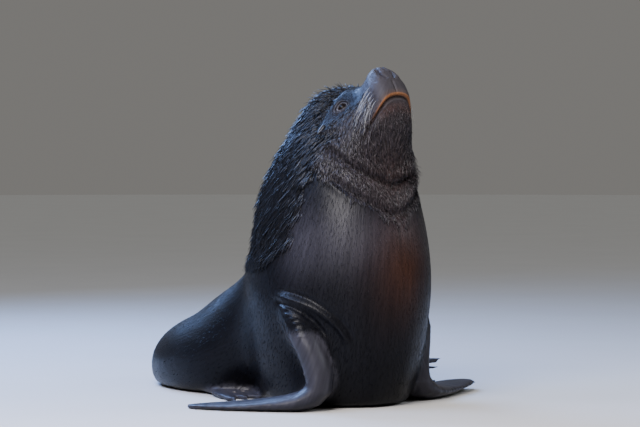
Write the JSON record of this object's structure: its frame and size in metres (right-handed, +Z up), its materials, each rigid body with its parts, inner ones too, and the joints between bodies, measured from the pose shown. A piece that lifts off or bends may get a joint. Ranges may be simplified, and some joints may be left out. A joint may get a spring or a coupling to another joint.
{
  "type": "sea lion figure",
  "caption": "Life-size bull sea lion, sitting up on its fore flippers with its muzzle raised; a still model for display.",
  "frame": {"origin": "on the floor, under the middle of the belly's flat underside", "axes": "+X forward out of the animal's chest, +Y to its left, +Z up"},
  "size_m": [1.4127, 1.2745, 1.156],
  "materials": {
    "wet_coat": "wet short fur, glossy",
    "bare_skin": "wet bare skin, glossy",
    "claw_horn": "dull horn",
    "eye": "wet gloss"
  },
  "bodies": {
    "root": {"head": "wet_coat", "lower_jaw": "wet_coat", "neck": "wet_coat", "trunk": "wet_coat", "hindquarters": "wet_coat", "tail": "wet_coat", "right_forearm": "wet_coat", "right_fore_flipper": "bare_skin", "right_hind_flipper": "bare_skin", "right_hind_claw_2": "claw_horn", "right_hind_claw_3": "claw_horn", "right_hind_claw_4": "claw_horn", "right_ear": "bare_skin", "right_eye": "eye", "left_forearm": "wet_coat", "left_fore_flipper": "bare_skin", "left_hind_flipper": "bare_skin", "left_hind_claw_2": "claw_horn", "left_hind_claw_3": "claw_horn", "left_hind_claw_4": "claw_horn", "left_ear": "bare_skin", "left_eye": "eye"}
  },
  "joints": []
}
